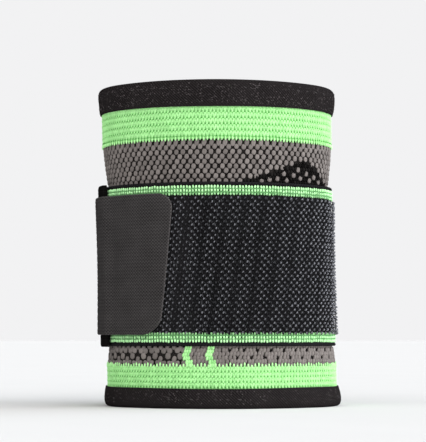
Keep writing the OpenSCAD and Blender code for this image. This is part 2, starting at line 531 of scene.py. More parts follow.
class Cloth:
    """Points and faces gathered for one piece, with each point's place on the cloth and its tone."""

    def __init__(self) -> None:
        """Starts with nothing."""
        self.points: list[Array] = []
        self.places: list[Array] = []
        self.tones: list[Array] = []
        self.faces: list[Array] = []
        self.count = 0

    def add(self, points: Array, places: Array, tones: Array, faces: list[Array]) -> None:
        """Adds points and the faces on them.

        Args:
            points: the points.
            places: the place of each on the cloth.
            tones: how pale the yarn is there.
            faces: the faces, which count from the first of these points.
        """
        self.points.append(points.reshape(-1, 3))
        self.places.append(places.reshape(-1, 3))
        self.tones.append(np.broadcast_to(tones, points.shape[:-1]).reshape(-1))
        self.faces.extend(face + self.count for face in faces)
        self.count += self.points[-1].shape[0]

    def sweep(
        self,
        angle: Array,
        height: Array,
        offset: Array,
        tone: Array | float,
        crown: Array | float,
        ring: bool,
    ) -> None:
        """Adds the closed surface that a closed section makes as it goes round the oval.

        Args:
            angle: the angle of each column, or of each point.
            height: the height of each point, a row for each point of the section.
            offset: the offset of each point.
            tone: how pale the yarn is there.
            crown: how near the cloth's face each point is, from 0 to 1; the material tones lower values
                darker, as painted shade.
            ring: whether it goes all the way round; otherwise its two ends are closed.
        """
        angle, height, offset, tone, crown = alike(angle, height, offset, tone, crown)
        rows, columns = height.shape
        points = PLAN.place(angle, height, offset)
        places = np.stack([PLAN.along(angle), height, crown], -1)
        i, j = np.meshgrid(np.arange(rows), np.arange(columns if ring else columns - 1), indexing="ij")
        below, beside = (i + 1) % rows, (j + 1) % columns
        near, far = i * columns, below * columns
        faces = [np.stack([near + j, near + beside, far + beside, far + j], -1).reshape(-1, 4)]
        if not ring:
            k = np.arange(rows // 2 - 1)
            back = rows - 1 - k
            start = np.stack([k, k + 1, back - 1, back], -1) * columns
            faces += [start, start[:, ::-1] + columns - 1]
        self.add(points, places, tone, faces)

    def stamp(
        self,
        form: Form,
        angle: Array,
        height: Array,
        offset: Array,
        size: tuple[float, float, float],
        tone: Array | float,
        lean: Array | float = 0.0,
        scale: Array | float = 1.0,
    ) -> None:
        """Adds a copy of a form at each place.

        Args:
            form: the stitch or thread.
            angle: the angle of each copy.
            height: the height of each copy.
            offset: the offset of each copy's middle.
            size: the form's half width, half height and half depth.
            tone: how pale each copy is.
            lean: how far each copy's top leans to the right, in degrees.
            scale: the size of each copy, as a share.
        """
        angle, height, offset, tone, lean, scale = alike(angle, height, offset, tone, lean, scale)
        local = form.points[None] * np.array(size) * scale[:, None, None]
        tip, turn = np.radians(lean)[:, None], np.radians(angle)[:, None]
        right = local[..., 0] * np.cos(tip) + local[..., 1] * np.sin(tip)
        up = local[..., 1] * np.cos(tip) - local[..., 0] * np.sin(tip)
        out = local[..., 2]
        middle = PLAN.place(angle, height, offset)[:, None, :]
        step_x = out * np.cos(turn) - right * np.sin(turn)
        step_y = out * np.sin(turn) + right * np.cos(turn)
        step = np.stack([step_x, step_y, up], -1)
        # crown is 1 at the form's face and 0 at its back; the material darkens the back as painted shade.
        crown = np.clip(form.points[:, 2] * 0.5 + 0.5, 0, 1)[None] + np.zeros_like(out)
        along = PLAN.along(angle)[:, None] + local[..., 0]
        places = np.stack([along, height[:, None] + local[..., 1], crown], -1)
        first = (np.arange(len(angle)) * len(form.points))[:, None, None]
        faces = [(first + form.quads).reshape(-1, 4), (first + form.triangles).reshape(-1, 3)]
        self.add(middle + step, places, np.repeat(tone[:, None], len(form.points), 1), faces)

    def piece(self, name: str, finish: Finish, slot: str, nodes: list[str]) -> bpy.types.Object:
        """Builds the mesh and puts it in the scene.

        Args:
            name: the piece's name.
            finish: what it is made of.
            slot: a material slot name; not used.
            nodes: the CAD nodes that it stands for.

        Returns:
            The new object, in metres.
        """
        mesh = bpy.data.meshes.new(name)
        points = np.concatenate(self.points) * MM
        corners = np.concatenate([face.reshape(-1) for face in self.faces])
        sizes = np.concatenate([np.full(len(face), face.shape[1]) for face in self.faces])
        mesh.vertices.add(len(points))
        mesh.vertices.foreach_set("co", points.reshape(-1))
        mesh.loops.add(len(corners))
        mesh.loops.foreach_set("vertex_index", corners)
        mesh.polygons.add(len(sizes))
        mesh.polygons.foreach_set("loop_start", np.concatenate([[0], np.cumsum(sizes)[:-1]]))
        mesh.update(calc_edges=True)
        mesh.polygons.foreach_set("use_smooth", np.ones(len(sizes), bool))
        places = mesh.attributes.new("cloth", "FLOAT_VECTOR", "POINT")
        places.data.foreach_set("vector", np.concatenate(self.places).reshape(-1).astype(np.float32))
        tones = mesh.attributes.new("tone", "FLOAT", "POINT")
        tones.data.foreach_set("value", np.concatenate(self.tones).astype(np.float32))
        mesh.set_sharp_from_angle(angle=math.radians(75))
        if finish.name not in bpy.data.materials:
            finish.material()
        mesh.materials.append(bpy.data.materials[finish.name])
        made = bpy.data.objects.new(name, mesh)
        bpy.context.scene.collection.objects.link(made)
        if nodes:
            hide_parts(*nodes)
        LOG.info("%s: %d points, %d faces", name, len(points), len(sizes))
        return made


def draws(seed: int) -> np.random.Generator:
    """Random draws that come out the same on each run."""
    return np.random.default_rng(seed)


def stitch_run(upright: bool) -> Form:
    """One arched stitch of sewing thread.

    Args:
        upright: whether it runs up the cloth; otherwise it runs along it.

    Returns:
        The stitch.
    """
    arch = ((-1.0, -0.4), (-0.6, 0.4), (0.0, 0.7), (0.6, 0.4), (1.0, -0.4))
    path = [(0.0, step, out) if upright else (step, 0.0, out) for step, out in arch]
    return tube(path, [0.7] * 5, 5, (1, 0, 0) if upright else (0, 1, 0))


# ---------------------------------------------------------------- the knitted sleeve


@dataclass(frozen=True)
class Knot:
    """One knot of the open knit: its place in the repeat, in quarters and mm, and its half sizes."""

    quarter: float
    up: float
    wide: float
    tall: float


TENT_KNOTS = (
    Knot(0.0, 2.0, 0.68, 0.86),
    Knot(2.0, 2.85, 0.86, 0.95),
    Knot(1.05, 4.4, 0.84, 0.84),
    Knot(2.95, 4.4, 0.84, 0.84),
    Knot(2.0, 5.0, 0.66, 0.8),
    Knot(0.0, 5.35, 0.7, 0.75),
    Knot(2.0, 6.2, 0.7, 0.8),
    Knot(0.55, 0.85, 0.64, 0.68),
    Knot(1.25, 1.05, 0.58, 0.62),
    Knot(3.45, 0.85, 0.64, 0.68),
    Knot(2.75, 1.05, 0.58, 0.62),
    Knot(1.0, 0.35, 0.7, 0.5),
    Knot(3.0, 0.35, 0.7, 0.5),
    Knot(0.0, 0.45, 0.7, 0.5),
)


@dataclass
class KnitSleeve:
    """The tube: a grey mesh with a black arch and two bars, between two green bands."""

    wall: float = 1.8
    columns: int = 180
    mesh_columns: int = 90
    mesh_row: float = 1.345
    hem_tuck: float = 2.1
    strand_row: float = 1.04
    mesh_end: float = 18.3
    repeat: int = 4
    knots_start: float = 60.0
    knots_end: float = 255.5
    purl: float = 0.16
    purl_row: float = 1.8
    arch_left: float = 6.4
    arch_right: float = 31.2
    bar_middles: tuple[float, float] = (-9.2, -2.95)

    def __post_init__(self) -> None:
        """Takes the colour changes' heights from the CAD."""
        self.low, self.high = levels("knit_tube")
        self.base = levels("bottom_hem")[1]
        self.hem = levels("top_hem")[0]
        self.bar_low, self.bar_high = levels("accent_bars")
        self.stitch = PLAN.perimeter() / self.columns
        self.on_wall: list[bpy.types.Object] = []

    def add(self, piece: bpy.types.Object) -> None:
        """Puts a piece of the knit on the sleeve's body, and notes that it goes with the wall."""
        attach(piece, "sleeve")
        self.on_wall.append(piece)

    def face(self, height: Array) -> Array:
        """The knit's offset at a height: it widens above and below the strap."""
        bends = [self.low + up for up in (0.0, 4.9, 6.0)] + [self.high - down for down in (12.8, 10, 4, 0)]
        return np.interp(height, bends, [1.2, 0.7, 0.05, 0.0, 0.5, 1.25, 1.5])

    def stitch_angle(self, column: Array, columns: int) -> Array:
        """The angle of a stitch column, out of so many, which may be part of a column."""
        share = (np.asarray(column, float) % columns) / columns
        return PLAN.angle_at(PLAN.along(-45.0) + PLAN.perimeter() * share)

    def ring_wall(self, low: float, high: float, drop: float, outside: float, inside: float) -> Cloth:
        """A ring of the tube's wall, with the knit's reverse side inside.

        Args:
            low: its lower edge.
            high: its upper edge.
            drop: how far its outside lies behind the knit's face.
            outside: the tone of its outside.
            inside: the tone of its inside.

        Returns:
            The wall.
        """
        angle = self.stitch_angle(np.arange(4 * self.columns) / 4, self.columns)
        outer = np.linspace(low, high, max(4, round((high - low) / 2)))
        inner = np.linspace(high, low, max(6, round((high - low) / 0.9)))
        height = np.concatenate([outer, inner])[:, None] + 0 * angle
        phase = np.arange(4 * self.columns) * TAU / 4
        rows = 0.75 + 0.25 * np.cos(TAU * inner / self.purl_row)[:, None]
        front = self.face(outer)[:, None] - drop + 0 * angle
        back = self.face(inner)[:, None] - self.wall + self.purl * (1 - np.cos(phase)[None] * rows)
        offset = np.concatenate([front, back])
        sides = np.where(np.arange(len(height)) < len(outer), outside, inside)
        tone = sides[:, None] + np.zeros_like(height)
        tone[len(outer) :] *= 0.75 - 0.25 * np.cos(phase)[None]
        made = Cloth()
        made.sweep(angle, height, offset, tone, 0.8, True)
        return made

    def arch_top(self, across: Array) -> Array:
        """The edge of the black arch.

        Args:
            across: distances right of the axis.

        Returns:
            The height of the edge at each, and 0 where there is no arch.
        """
        bends = [self.arch_left, 12.0, 18.5, 24.5, 27.5, self.arch_right]
        rise = np.interp(across, bends, [63.0, 64.6, 67.3, 69.4, 67.6, 62.6])
        return np.where((across > self.arch_left) & (across < self.arch_right), rise, 0.0)

    def grey_mesh(self, rows: Array, name: str, nodes: list[str]) -> None:
        """Rows of oval stitches, each between two of the row below.

        Args:
            rows: the rows to make, counted down from the green band.
            name: the piece's name.
            nodes: the CAD nodes that it stands for.
        """
        rng = draws(11)
        made = Cloth()
        oval = bead(around=12, rings=5, square=0.8, groove=0.6)
        for row in rows:
            angle = self.stitch_angle(np.arange(self.mesh_columns) + 0.5 * (row % 2), self.mesh_columns)
            height = self.high - 1.0 if row == 0 else self.high - 0.95 - self.mesh_row * row
            kept = height > self.arch_top(PLAN.front_x(angle)) + 0.5
            angle = angle[kept]
            count = len(angle)
            tall = 1.1 if row == 0 else 0.79
            made.stamp(
                oval,
                angle + rng.normal(0, 0.12, count),
                height + rng.normal(0, 0.05, count),
                self.face(height) - 0.36,
                (0.67, tall, 0.44),
                0.68 + rng.uniform(-0.12, 0.12, count),
                lean=rng.normal(9, 4, count),
                scale=rng.uniform(0.96, 1.04, count),
            )
        self.add(made.piece(name, GREY_YARN, "grey_knit", nodes))

    def fine_knit(self, made: Cloth, seed: int) -> None:
        """The fine side of the lower grey zone: upright stitches, with staggered rows of small holes.

        Args:
            made: the cloth to add to.
            seed: the draws' seed.
        """
        rng = draws(seed)
        strand = bead(around=6, rings=4)
        for row, height in enumerate(np.arange(self.low + 0.35, self.mesh_end, self.strand_row)):
            column = np.arange(self.columns)
            angle = self.stitch_angle(column + 0.25 * (row % 2), self.columns)
            fine = (angle > self.knots_end) | (angle < self.knots_start)
            plain = (angle > self.knots_end) & (angle < 272)
            hole = (row % 2 == 0) & ((column + row) % self.repeat == 0)
            angle = angle[fine & ~(hole & ~plain)]
            count = len(angle)
            made.stamp(
                strand,
                angle + rng.normal(0, 0.15, count),
                height + rng.normal(0, 0.05, count),
                self.face(height) - 0.28,
                (0.6, 0.8, 0.32),
                0.66 + rng.uniform(-0.09, 0.09, count),
                lean=rng.normal(14, 6, count),
            )

    def knots(self, made: Cloth, seed: int) -> None:
        """The open side of the lower grey zone: knots round holes shaped like small tents.

        Args:
            made: the cloth to add to.
            seed: the draws' seed.
        """
        rng = draws(seed)
        oval = bead(around=12, rings=5, square=0.8, groove=0.4)
        tents = np.arange(0, self.columns, self.repeat)
        for knot in TENT_KNOTS:
            angle = self.stitch_angle(tents + knot.quarter * self.repeat / 4, self.columns)
            angle = angle[(angle < self.knots_end + 0.5) & (angle > self.knots_start)]
            count = len(angle)
            height = self.low + knot.up + rng.normal(0, 0.06, count)
            made.stamp(
                oval,
                angle + rng.normal(0, 0.2, count),
                height,
                self.face(height) - 0.3,
                (knot.wide, knot.tall, 0.4),
                0.62 + rng.uniform(-0.14, 0.14, count),
                lean=rng.normal(6, 8, count),
            )

    def dense_knit(self) -> None:
        """The closely knitted grey zone between the strap and the lower green band."""
        made = Cloth()
        self.fine_knit(made, 12)
        self.knots(made, 15)
        self.add(made.piece("grey_dense_knit", GREY_YARN, "grey_knit", []))

    def green_rows(self, low: float, high: float, row: float, seed: int) -> Cloth:
        """A green band's stitches: rows of small Vs.

        Args:
            low: the band's lower edge.
            high: its upper edge.
            row: the distance between rows.
            seed: the draws' seed.

        Returns:
            The stitches.
        """
        rng = draws(seed)
        made = Cloth()
        leg = bead(around=6, rings=3, square=0.7)
        dash = bead(around=5, rings=2)
        half_step = 0.25 / self.stitch
        columns = np.arange(self.columns)
        for height in np.arange(high - 0.75, low - 0.1, -row):
            tone = 0.8 + rng.uniform(-0.1, 0.1, self.columns)
            for hand in (-1, 1):
                made.stamp(
                    leg,
                    self.stitch_angle(columns + hand * half_step, self.columns),
                    height + rng.normal(0, 0.03, self.columns),
                    self.face(height) - 0.14,
                    (0.3, 0.52 * row + 0.1, 0.25),
                    tone + 0.04 * hand,
                    lean=12 * hand,
                )
            # Over each row, pale dashes toned beyond the yarn's pale colour (1.2 to 1.6) are painted
            # highlights; under it, small dark dots between the columns are painted shade in the holes
            # between rows.
            for side, rise, tone, size in (
                (0.0, 0.5, rng.uniform(1.2, 1.6, self.columns), (0.17, 0.34, 0.15)),
                (0.5, -0.5, rng.uniform(-0.4, 0.2, self.columns), (0.15, 0.18, 0.11)),
            ):
                made.stamp(
                    dash,
                    self.stitch_angle(columns + side, self.columns),
                    height + rise * row + rng.normal(0, 0.04, self.columns),
                    self.face(height) + 0.06,
                    size,
                    tone,
                    lean=20.0,
                )
        return made

    def green_band(
        self, which: str, low: float, high: float, tuck_low: float, tuck_high: float, row: float
    ) -> None:
        """One green band: its wall, its stitches, and its edges of pale teeth.

        Args:
            which: top or bottom.
            low: its visible lower edge.
            high: its visible upper edge.
            tuck_low: how far it goes on below, into a hem.
            tuck_high: how far it goes on above, into a hem.
            row: the distance between stitch rows.
        """
        node = f"{which}_green_band"
        wall = self.ring_wall(low - tuck_low, high + tuck_high, 0.22, 0.55, 0.6)
        self.add(wall.piece(f"{which}_green_wall", GREEN_YARN, "green_knit", [node]))
        seed = 21 if which == "top" else 22
        made = self.green_rows(low, high, row, seed)
        rng = draws(seed + 10)
        edge = low if which == "top" else high
        angle = self.stitch_angle(np.arange(self.columns), self.columns)
        tooth = bead(around=6, rings=3)
        swing = np.zeros_like(angle)
        if which == "bottom":
            swing = 0.5 + 0.5 * np.cos(TAU * np.arange(self.columns) / self.repeat)
        made.stamp(
            tooth,
            angle,
            edge + 0.5 * swing + rng.normal(0, 0.05, self.columns),
            self.face(edge) - 0.02,
            (0.28, 0.62, 0.3),
            rng.uniform(0.85, 1.15, self.columns),
        )
        seam = high - 0.1 if which == "top" else low + 0.15
        tone = rng.uniform(0.6, 1.0, self.columns)
        made.stamp(tooth, angle, seam, self.face(seam) - 0.05, (0.3, 0.42, 0.3), tone)
        self.add(made.piece(f"{which}_green_stitches", GREEN_YARN, "green_knit", []))

    def arch(self) -> None:
        """The black arch over the strap, in small flat stitches with a plain scatter of grey ones."""
        rng = draws(13)
        made = Cloth()
        strand = bead(around=6, rings=3)
        for count, height in enumerate(np.arange(57.0, 70.0, 0.95)):
            angle = self.stitch_angle(np.arange(self.columns) + 0.5 * (count % 2), self.columns)
            across = PLAN.front_x(angle)
            inside = (height < self.arch_top(across) + 0.35) & (across > self.arch_left)
            angle = angle[inside]
            if len(angle):
                made.stamp(
                    strand,
                    angle,
                    np.full_like(angle, height),
                    self.face(height) - 0.22,
                    (0.5, 0.62, 0.3),
                    0.4 + rng.uniform(-0.25, 0.25, len(angle)),
                    lean=18 * (-1) ** count,
                )
        self.add(made.piece("black_arch", BLACK_YARN, "black_knit", ["arch_panel"]))
        dots = Cloth()
        right = [12.2, 14.4, 16.6, 18.4, 19.3, 21.2, 22.4, 23.2, 24.8, 25.9, 27.1, 28.6]
        height = np.array([63.5, 64.1, 64.4, 65.9, 64.1, 65.6, 67.2, 64.9, 66.2, 64.4, 65.4, 64.2])
        angle = 360 - np.degrees(np.arccos(np.clip([self.arch_cosine(x) for x in right], -1, 1)))
        form = bead(around=8, rings=5, square=0.85, groove=0.3)
        dots.stamp(form, angle, height, self.face(height) - 0.15, (0.72, 0.78, 0.36), 0.6, lean=8.0)
        self.add(dots.piece("arch_grey_stitches", GREY_YARN, "grey_knit", []))

    @staticmethod
    def arch_cosine(across: float) -> float:
        """The cosine of the angle on the front right that is that far right of the axis."""
        side, face = PLAN.radii()
        return across / face if across < face * math.cos(math.pi / 4) else (across - PLAN.shift) / side

    def bars(self) -> None:
        """The two stepped green bars."""
        rng = draws(14)
        made = Cloth()
        leg = bead(around=6, rings=3)
        rows = np.arange(self.bar_low + 0.3, self.bar_high + 0.3, 0.98)
        steps = [0.4, 0.3, -0.4, -0.6, -0.15, 0.05, 0.1, 0.1]
        for middle in self.bar_middles:
            for height, step in zip(rows, steps):
                for column in (-0.62, 0.0, 0.62):
                    across = middle + step + column
                    angle = 270 + math.degrees(math.asin(across / PLAN.radii()[1]))
                    tone = 0.72 + rng.uniform(-0.2, 0.25)
                    made.stamp(leg, angle, height, self.face(height), (0.42, 0.68, 0.36), tone, lean=16.0)
        self.add(made.piece("green_bars", GREEN_YARN, "green_knit", ["accent_bars"]))

    def build(self) -> None:
        """Builds the whole tube."""
        # The outside of the wall is toned near black (0.12) while its inside is grey: painted shade where
        # the wall shows through the holes between the grey ovals.
        wall = self.ring_wall(self.low, self.high, 0.62, 0.12, 0.75)
        inside = wall.piece("knit_wall", GREY_WALL, "grey_knit", ["knit_tube"])
        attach(inside, "sleeve")
        rows = int((self.high - self.mesh_end) / self.mesh_row)
        self.grey_mesh(np.arange(0, 11), "grey_mesh_above_strap", [])
        self.grey_mesh(np.arange(11, 27), "grey_mesh_under_strap", [])
        self.grey_mesh(np.arange(27, rows), "grey_mesh_low_under_strap", [])
        self.dense_knit()
        self.green_band("top", self.high, self.hem, 0.0, self.hem_tuck, 1.72)
        self.green_band("bottom", self.base, self.low, self.hem_tuck, 0.0, 1.42)
        self.arch()
        self.bars()
        size = (PLAN.perimeter() * MM, (self.high - self.low) * MM)


# ---------------------------------------------------------------- the hems


@dataclass
class RolledHem:
    """A strip of dark cloth folded over the tube's edge, with an elastic and the band's edge in its fold."""

    which: str
    top: bool
    flare: float
    wall: float = 1.8
    cloth: float = 1.1
    tuck: float = 2.2
    corner: float = 1.7
    flecks: int = 900
    columns: int = 720
    stitches: int = 56
    rib: float = 1.15
    fold_allowance: float = 3.0

    def __post_init__(self) -> None:
        """Takes the hem's height from the CAD."""
        self.low, self.high = levels(f"{self.which}_hem")

    def section(self) -> tuple[Array, Array]:
        """The folded cloth's section, from its edge on the outside, over the fold and down inside.

        Returns:
            Offsets and heights, as if the fold were above.
        """
        rise = self.high - self.low
        outer, inner = self.flare + 0.05 + self.cloth, self.flare - self.wall - 0.05 - self.cloth
        level = np.concatenate([[0.0, 0.12, 0.5], np.linspace(1.0, rise - self.corner, 11)])
        side_out = outer + self.bulge(level)
        turn = np.radians(np.linspace(12, 168, 15))
        middle, half = (outer + inner) / 2, (outer - inner) / 2
        fold_out = middle + half * np.sign(np.cos(turn)) * np.abs(np.cos(turn)) ** 0.62
        fold_up = rise - self.corner + self.corner * np.sin(turn) ** 0.9
        side_in = inner - self.bulge(level)
        slot_top = rise - self.cloth - 0.4
        slot_out = [inner + self.cloth, inner + self.cloth, outer - self.cloth, outer - self.cloth]
        offset = np.concatenate([side_out, fold_out, side_in[::-1], slot_out])
        height = np.concatenate([level, fold_up, level[::-1], [0.0, slot_top, slot_top, 0.0]])
        return offset, height

    def lift(self, height: Array) -> Array:
        """Heights above the floor for heights in the section."""
        return self.low + height if self.top else self.high - height

    def spot(self, share: Array) -> Array:
        """The angle that is a share of the way round."""
        return PLAN.angle_at(PLAN.along(-45.0) + PLAN.perimeter() * share)

    def bulge(self, level: Array) -> Array:
        """How far the outer face stands off straight: the cloth thins towards its edge."""
        share = np.asarray(level, float) / (self.high - self.low)
        return 0.1 * np.sin(math.pi * share) - 0.55 * np.clip(1 - share, 0, 1) ** 2.5

    def slack(self, angle: Array, level: Array) -> Array:
        """How far the cloth stands off its even section.

        Args:
            angle: angles on the oval.
            level: heights in the section.

        Returns:
            The distances.
        """
        turn = np.radians(angle)
        wave = 0.12 * np.sin(3 * turn + 1.0) + 0.08 * np.sin(7 * turn + 0.4)
        return wave * np.sin(math.pi * level / 8)

    def outside(self, angle: Array, level: Array) -> Array:
        """The offset of the cloth's outer face.

        Args:
            angle: angles on the oval.
            level: heights in the section.

        Returns:
            The offsets.
        """
        return self.flare + 0.05 + self.cloth + self.bulge(level) + self.slack(angle, level)

    def folded_cloth(self, rng: np.random.Generator) -> bpy.types.Object:
        """Builds the folded cloth, with flecks of paler yarn on its outside.

        Args:
            rng: the hem's random draws.

        Returns:
            The piece.
        """
        offset, height = self.section()
        span = np.arange(self.columns)
        angle = self.spot(span / self.columns)
        turn = np.radians(angle)
        knit = np.cos(TAU * span / 4)[None] * np.cos(TAU * height / self.rib)[:, None]
        sway = 0.13 * np.sin(2 * turn + 2.0) + 0.07 * np.sin(5 * turn)
        face = np.arange(len(offset)) < len(offset) - 4
        relief = 0.035 * knit + self.slack(angle[None], height[:, None])
        offsets = offset[:, None] + np.where(face[:, None], relief, 0.0)
        edge = (1 - height / (self.high - self.low))[:, None]
        heights = self.lift(height)[:, None] + sway * edge
        if not self.top:
            offsets, heights = offsets[::-1], heights[::-1]
        made = Cloth()
        # The tone follows the same knit wave as the relief, paler where it is high: painted shade in the
        # knit's hollows. On the bottom hem the rows of points are turned over but the tones are not.
        made.sweep(angle, heights, offsets, 0.13 + 0.04 * knit, 0.7, True)
        place = self.spot(rng.uniform(size=self.flecks))
        level = rng.uniform(0.5, self.high - self.low - 1.2, self.flecks)
        made.stamp(
            bead(around=5, rings=2),
            place,
            self.lift(level),
            self.outside(place, level),
            (0.2, 0.14, 0.1),
            rng.uniform(0.25, 1.05, self.flecks) ** 1.7,
            lean=rng.uniform(-40, 40, self.flecks),
            scale=rng.uniform(0.5, 1.1, self.flecks),
        )
        return made.piece(f"{self.which}_hem_cloth", HEM_CLOTH, "hem_cloth", [f"{self.which}_hem"])

    def sewn_thread(self, rng: np.random.Generator) -> bpy.types.Object:
        """Builds the lines of stitches on the hem's outside.

        Args:
            rng: the hem's random draws.

        Returns:
            The piece.
        """
        made = Cloth()
        node = f"{self.which}_hem_stitching"
        low, high = levels(node)
        for line in sorted({round(low + 0.16, 1), round(high - 0.16, 1)}):
            place = self.spot(np.arange(self.stitches) / self.stitches)
            level = line - self.low if self.top else self.high - line
            tone = rng.uniform(0.1, 0.8, self.stitches) ** 1.5
            offset = self.outside(place, level) - 0.04
            made.stamp(stitch_run(False), place, line, offset, (0.36, 0.13, 0.12), tone, lean=20.0)
        return made.piece(f"{self.which}_hem_thread", THREAD, "thread", [node])

    def elastic_band(self) -> bpy.types.Object:
        """Builds the flat elastic in the fold.

        Returns:
            The piece.
        """
        made = Cloth()
        node = f"{self.which}_hem_elastic"
        low, high = levels(node)
        rows = np.linspace(low, high, 9)
        rib = 0.05 * np.cos(TAU * np.arange(9) / 2)
        angle = self.spot(np.arange(self.columns) / self.columns)
        height = np.concatenate([rows, rows[::-1]])[:, None] + 0 * angle
        outer, inner = self.flare - 0.15 + rib, self.flare - self.wall + 0.15 - rib
        made.sweep(angle, height, np.concatenate([outer, inner])[:, None] + 0 * angle, 0.4, 0.5, True)
        return made.piece(f"{self.which}_hem_band", HEM_BAND, "hem_elastic", [node])

    def build(self) -> None:
        """Builds the hem, its thread and its elastic."""
        rng = draws(31 if self.top else 32)
        hem, sewn, elastic = self.folded_cloth(rng), self.sewn_thread(rng), self.elastic_band()
        for piece in (hem, sewn, elastic):
            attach(piece, "sleeve")
        width = (2 * (self.high - self.low) + self.fold_allowance) * MM
        size = (PLAN.perimeter() * MM, width)


# ---------------------------------------------------------------- the strap


@dataclass(frozen=True)
class Loops:
    """One layer of the pile: its stitch, tones, share of the pitch, half sizes, rise and lean."""

    form: Form
    dark: float
    pale: float
    shift: float
    size: Point
    rise: float
    lean: float


@dataclass(frozen=True)
class BeadRow:
    """One row of a trim: its distance from the strap's edge, its tone and its beads' half height."""

    inward: float
    tone: float
    tall: float


